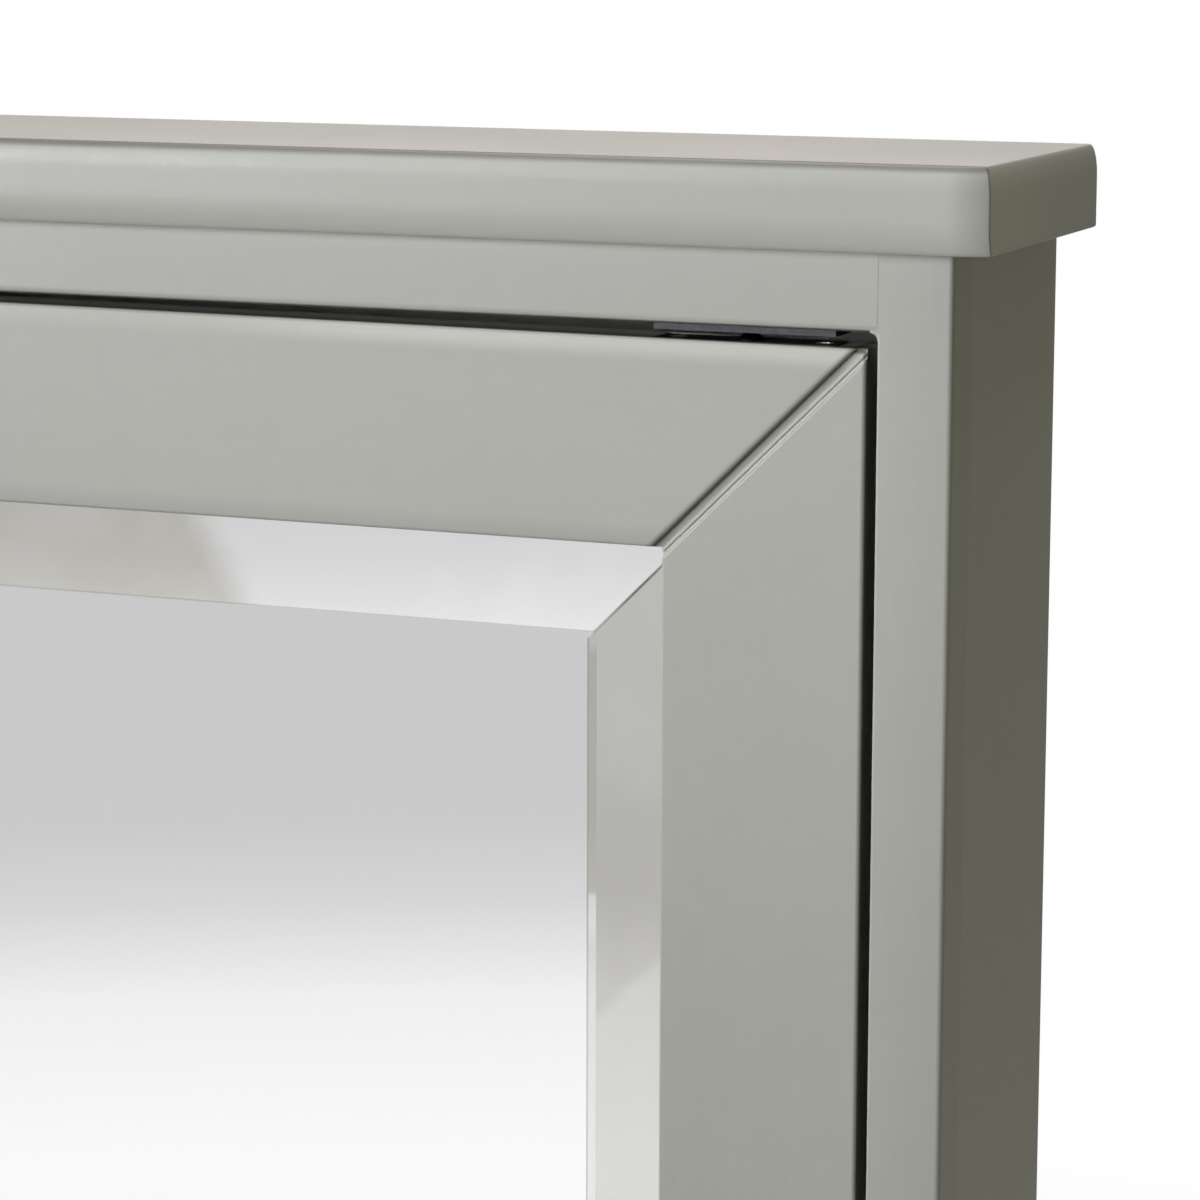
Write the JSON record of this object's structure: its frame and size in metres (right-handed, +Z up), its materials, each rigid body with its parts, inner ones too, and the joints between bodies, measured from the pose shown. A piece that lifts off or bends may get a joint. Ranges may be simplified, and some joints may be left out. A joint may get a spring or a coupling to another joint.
{
  "type": "bathroom mirror cabinet",
  "caption": "Wall-hung bathroom cabinet in grey-green painted wood with an overhanging top board and an inset door that carries a bevelled mirror.",
  "frame": {"origin": "middle of the back face, on the wall", "axes": "+X to the viewer's right, +Y into the wall, +Z up"},
  "size_m": [0.588, 0.142, 0.728],
  "materials": {
    "sage_paint": "satin grey-green paint, faintly brushed",
    "inner_paint": "satin paint",
    "beech": "raw",
    "zinc_steel": "zinc plated",
    "spring_steel": "plain",
    "bright_steel": "polished",
    "hinge_steel": "nickel plated",
    "glass": "clear, polished bevel",
    "silver": "polished",
    "hardboard": "smooth hardboard",
    "rubber": "matt",
    "nickel": "satin nickel"
  },
  "bodies": {
    "case": {"cornice": "sage_paint", "side_panel_left": "sage_paint", "side_panel_right": "sage_paint", "frame_stile_left": "sage_paint", "frame_stile_right": "sage_paint", "frame_top_rail": "sage_paint", "frame_bottom_rail": "sage_paint", "door_stop": "sage_paint", "top_panel": "inner_paint", "bottom_panel": "inner_paint", "back_panel": "inner_paint", "upper_hanging_rail": "inner_paint", "lower_hanging_rail": "inner_paint", "lower_shelf": "inner_paint", "upper_shelf": "inner_paint", "case_dowels": "beech", "frame_dowels": "beech", "shelf_pins": "zinc_steel", "cornice_screws": "zinc_steel", "back_panel_nails": "zinc_steel", "strike_plate": "zinc_steel", "strike_screws": "zinc_steel", "frame_hinge_screws": "hinge_steel", "hinge_frame_leaf_upper": "hinge_steel", "hinge_frame_leaf_lower": "hinge_steel", "hinge_pin_upper": "hinge_steel", "hinge_pin_lower": "hinge_steel", "door_bumpers": "rubber"},
    "door": {"door_top_rail": "sage_paint", "door_bottom_rail": "sage_paint", "door_hinge_stile": "sage_paint", "door_knob_stile": "sage_paint", "door_mitre_tongues": "beech", "mirror_glass": "glass", "mirror_silvering": "silver", "mirror_backing": "hardboard", "mirror_setting_blocks": "rubber", "mirror_clips": "zinc_steel", "mirror_clip_screws": "zinc_steel", "catch_plate": "zinc_steel", "catch_screws": "zinc_steel", "catch_barrel": "zinc_steel", "catch_spring": "spring_steel", "knob": "nickel", "knob_screw": "zinc_steel", "door_hinge_screws": "hinge_steel", "hinge_door_leaf_upper": "hinge_steel", "hinge_door_leaf_lower": "hinge_steel"},
    "catch_ball": {"catch_ball": "bright_steel"}
  },
  "joints": [
    {"name": "door_swing", "type": "hinge", "parent": "case", "child": "door", "pos_m": [-0.25335, -0.1214, 0], "axis": [0, 0, -1], "range_deg": [0, 170]},
    {"name": "ball_press", "type": "slide", "parent": "door", "child": "catch_ball", "axis": [0, 0, -1], "range_m": [0, 0.0025], "stiffness_N_per_m": 2000, "springref_m": -0.002}
  ]
}
